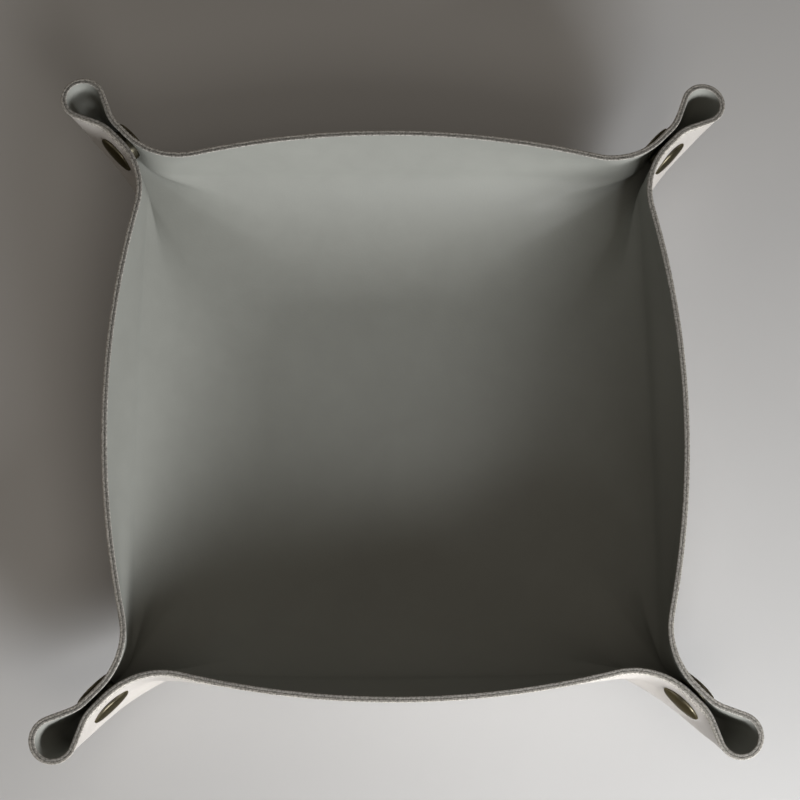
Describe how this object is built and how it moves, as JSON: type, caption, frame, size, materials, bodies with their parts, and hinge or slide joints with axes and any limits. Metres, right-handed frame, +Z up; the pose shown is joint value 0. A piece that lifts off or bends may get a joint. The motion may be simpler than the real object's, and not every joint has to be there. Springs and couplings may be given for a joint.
{
  "type": "valet tray",
  "caption": "Square soft valet tray folded from one two-ply leather sheet, with corners pinched into open loops and held by press studs under domed caps.",
  "frame": {"origin": "middle of the flat underside of the tray", "axes": "+Z up, +Y towards the back of the tray as pictured, +X to its right"},
  "size_m": [0.2078, 0.2078, 0.036],
  "materials": {
    "leather_outer": "smooth matte",
    "leather_inner": "smooth satin",
    "snap_metal": "antique dark",
    "spring_steel": "drawn wire"
  },
  "bodies": {
    "tray": {"tray_outer_ply": "leather_outer", "tray_inner_ply": "leather_inner"},
    "front_right_socket_side": {"front_right_socket_lip_outer": "leather_outer", "front_right_socket_lip_inner": "leather_inner", "front_right_socket_cap": "snap_metal", "front_right_socket": "snap_metal", "front_right_socket_spring": "spring_steel"},
    "front_right_stud_side": {"front_right_stud_lip_outer": "leather_outer", "front_right_stud_lip_inner": "leather_inner", "front_right_stud": "snap_metal", "front_right_stud_cap": "snap_metal"},
    "back_right_socket_side": {"back_right_socket_lip_outer": "leather_outer", "back_right_socket_lip_inner": "leather_inner", "back_right_socket_cap": "snap_metal", "back_right_socket": "snap_metal", "back_right_socket_spring": "spring_steel"},
    "back_right_stud_side": {"back_right_stud_lip_outer": "leather_outer", "back_right_stud_lip_inner": "leather_inner", "back_right_stud": "snap_metal", "back_right_stud_cap": "snap_metal"},
    "back_left_socket_side": {"back_left_socket_lip_outer": "leather_outer", "back_left_socket_lip_inner": "leather_inner", "back_left_socket_cap": "snap_metal", "back_left_socket": "snap_metal", "back_left_socket_spring": "spring_steel"},
    "back_left_stud_side": {"back_left_stud_lip_outer": "leather_outer", "back_left_stud_lip_inner": "leather_inner", "back_left_stud": "snap_metal", "back_left_stud_cap": "snap_metal"},
    "front_left_socket_side": {"front_left_socket_lip_outer": "leather_outer", "front_left_socket_lip_inner": "leather_inner", "front_left_socket_cap": "snap_metal", "front_left_socket": "snap_metal", "front_left_socket_spring": "spring_steel"},
    "front_left_stud_side": {"front_left_stud_lip_outer": "leather_outer", "front_left_stud_lip_inner": "leather_inner", "front_left_stud": "snap_metal", "front_left_stud_cap": "snap_metal"}
  },
  "joints": [
    {"name": "front_right_socket_pull", "type": "slide", "parent": "tray", "child": "front_right_socket_side", "axis": [-0.7071, -0.7071, 0], "range_m": [0, 0.007], "deforming": ["front_right_socket_spring"]},
    {"name": "front_right_stud_pull", "type": "slide", "parent": "tray", "child": "front_right_stud_side", "axis": [0.7071, 0.7071, 0], "range_m": [0, 0.007]},
    {"name": "back_right_socket_pull", "type": "slide", "parent": "tray", "child": "back_right_socket_side", "axis": [0.7071, -0.7071, 0], "range_m": [0, 0.007], "deforming": ["back_right_socket_spring"]},
    {"name": "back_right_stud_pull", "type": "slide", "parent": "tray", "child": "back_right_stud_side", "axis": [-0.7071, 0.7071, 0], "range_m": [0, 0.007]},
    {"name": "back_left_socket_pull", "type": "slide", "parent": "tray", "child": "back_left_socket_side", "axis": [0.7071, 0.7071, 0], "range_m": [0, 0.007], "deforming": ["back_left_socket_spring"]},
    {"name": "back_left_stud_pull", "type": "slide", "parent": "tray", "child": "back_left_stud_side", "axis": [-0.7071, -0.7071, 0], "range_m": [0, 0.007]},
    {"name": "front_left_socket_pull", "type": "slide", "parent": "tray", "child": "front_left_socket_side", "axis": [-0.7071, 0.7071, 0], "range_m": [0, 0.007], "deforming": ["front_left_socket_spring"]},
    {"name": "front_left_stud_pull", "type": "slide", "parent": "tray", "child": "front_left_stud_side", "axis": [0.7071, -0.7071, 0], "range_m": [0, 0.007]}
  ],
  "couplings": [
    {"joint": "front_right_stud_pull", "follows": "front_right_socket_pull", "ratio": 1},
    {"joint": "back_right_stud_pull", "follows": "back_right_socket_pull", "ratio": 1},
    {"joint": "back_left_stud_pull", "follows": "back_left_socket_pull", "ratio": 1},
    {"joint": "front_left_stud_pull", "follows": "front_left_socket_pull", "ratio": 1}
  ]
}
